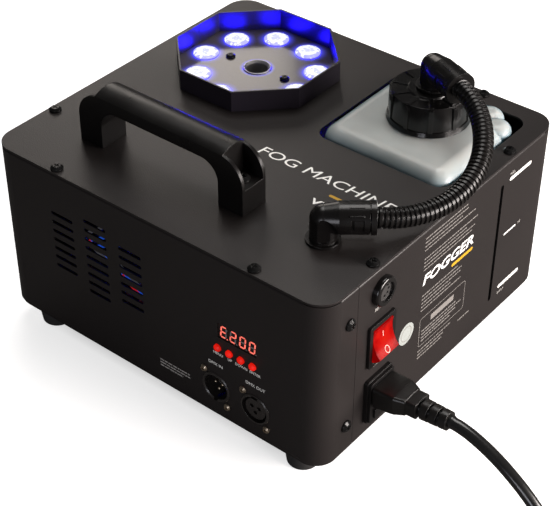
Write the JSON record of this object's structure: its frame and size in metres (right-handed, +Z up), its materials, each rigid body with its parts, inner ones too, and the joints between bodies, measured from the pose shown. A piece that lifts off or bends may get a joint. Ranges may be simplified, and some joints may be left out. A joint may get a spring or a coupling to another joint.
{
  "type": "vertical fog machine",
  "caption": "Low boxy fog machine with an upward nozzle in a ring of LEDs inside an octagonal shroud, lift-out fluid tank, corrugated hose, top handle, display and sockets.",
  "frame": {"origin": "middle of the housing footprint, on the floor under the rubber feet", "axes": "+Z up, -Y towards the front panel with the display, +X towards the side with the mains inlet and the tank level slot"},
  "size_m": [0.445, 0.2644, 0.207],
  "materials": {
    "powder_coat": "fine-texture satin black powder coat",
    "black_screw": "gloss black",
    "nickel": "nickel plated",
    "steel": "zinc plated",
    "aluminium": "machined or cast, plain",
    "brass": "turned",
    "black_plastic": "satin moulded nylon",
    "gloss_black": "gloss moulded",
    "red_rocker": "lit translucent red",
    "red_button": "gloss red",
    "display": "smoked window over red segments",
    "rubber": "matte",
    "cord": "gloss PVC",
    "tank_plastic": "translucent natural polyethylene",
    "lens": "clear moulded lens",
    "led_chip": "phosphor and silicone",
    "board": "solder-masked laminate",
    "board_white": "white solder mask",
    "part_black": "moulded",
    "insulation": "ceramic fibre blanket",
    "copper": "enamelled winding",
    "clear_tube": "translucent silicone or PTFE",
    "wire": "PVC insulated",
    "glass": "glass tube with metal caps"
  },
  "bodies": {
    "machine": {"front_shell": "powder_coat", "rear_shell": "powder_coat", "base_plate": "powder_coat", "top_plate": "powder_coat", "top_plate_screws": "black_screw", "seam_screws": "black_screw", "rubber_feet": "rubber", "foot_screws": "steel", "carry_handle": "black_plastic", "handle_screws": "steel", "led_shroud": "powder_coat", "led_plate": "aluminium", "led_plate_screws": "black_screw", "led_lenses": "lens", "led_board": "board_white", "led_emitters": "led_chip", "nozzle": "steel", "heater_block": "aluminium", "heater_element": "steel", "heater_insulation": "insulation", "heater_bracket": "steel", "thermal_cutout": "steel", "pump_body": "brass", "pump_spring": "steel", "pump_coil": "copper", "pump_frame": "steel", "suction_tube": "clear_tube", "feed_tube": "clear_tube", "main_board": "board", "board_parts": "part_black", "board_standoffs": "brass", "display_board": "board", "display_module": "display", "dmx_in_socket": "black_plastic", "dmx_in_pins": "nickel", "dmx_out_socket": "black_plastic", "dmx_socket_screws": "nickel", "remote_socket": "gloss_black", "rocker_bezel": "black_plastic", "power_inlet": "black_plastic", "inlet_pins": "nickel", "gland_elbow": "black_plastic", "gland_nut": "black_plastic", "corrugated_hose": "gloss_black", "tank_bay": "powder_coat", "wiring_loom": "wire"},
    "tank": {"fluid_tank": "tank_plastic", "cap_elbow": "black_plastic", "dip_tube": "clear_tube"},
    "cap": {"tank_cap": "gloss_black"},
    "rocker": {"power_rocker": "red_rocker"},
    "menu_key": {"menu_button": "red_button"},
    "up_key": {"up_button": "red_button"},
    "down_key": {"down_button": "red_button"},
    "enter_key": {"enter_button": "red_button"},
    "plug": {"power_plug": "black_plastic", "power_cord": "cord"},
    "fuse_holder": {"fuse_drawer": "black_plastic", "glass_fuse": "glass"},
    "plunger": {"pump_plunger": "steel"}
  },
  "joints": [
    {"name": "tank_lift", "type": "slide", "parent": "machine", "child": "tank", "axis": [0, 0, 1], "range_m": [0, 0.14], "deforming": ["corrugated_hose"]},
    {"name": "cap_turn", "type": "hinge", "parent": "tank", "child": "cap", "pos_m": [0.0738, 0.07, 0.17], "axis": [0, 0, 1], "range_deg": [0, 540]},
    {"name": "rocker_tilt", "type": "hinge", "parent": "machine", "child": "rocker", "pos_m": [0.1375, -0.073, 0.092], "axis": [0, 1, 0], "range_deg": [0, 30]},
    {"name": "menu_press", "type": "slide", "parent": "machine", "child": "menu_key", "axis": [0, 1, 0], "range_m": [0, 0.001], "stiffness_N_per_m": 300},
    {"name": "up_press", "type": "slide", "parent": "machine", "child": "up_key", "axis": [0, 1, 0], "range_m": [0, 0.001], "stiffness_N_per_m": 300},
    {"name": "down_press", "type": "slide", "parent": "machine", "child": "down_key", "axis": [0, 1, 0], "range_m": [0, 0.001], "stiffness_N_per_m": 300},
    {"name": "enter_press", "type": "slide", "parent": "machine", "child": "enter_key", "axis": [0, 1, 0], "range_m": [0, 0.001], "stiffness_N_per_m": 300},
    {"name": "plug_pull", "type": "slide", "parent": "machine", "child": "plug", "axis": [1, 0, 0], "range_m": [0, 0.03]},
    {"name": "fuse_pull", "type": "slide", "parent": "machine", "child": "fuse_holder", "axis": [1, 0, 0], "range_m": [0, 0.02]},
    {"name": "plunger_stroke", "type": "slide", "parent": "machine", "child": "plunger", "axis": [0, 0, 1], "range_m": [0, 0.003], "stiffness_N_per_m": 400, "deforming": ["pump_spring"]}
  ]
}
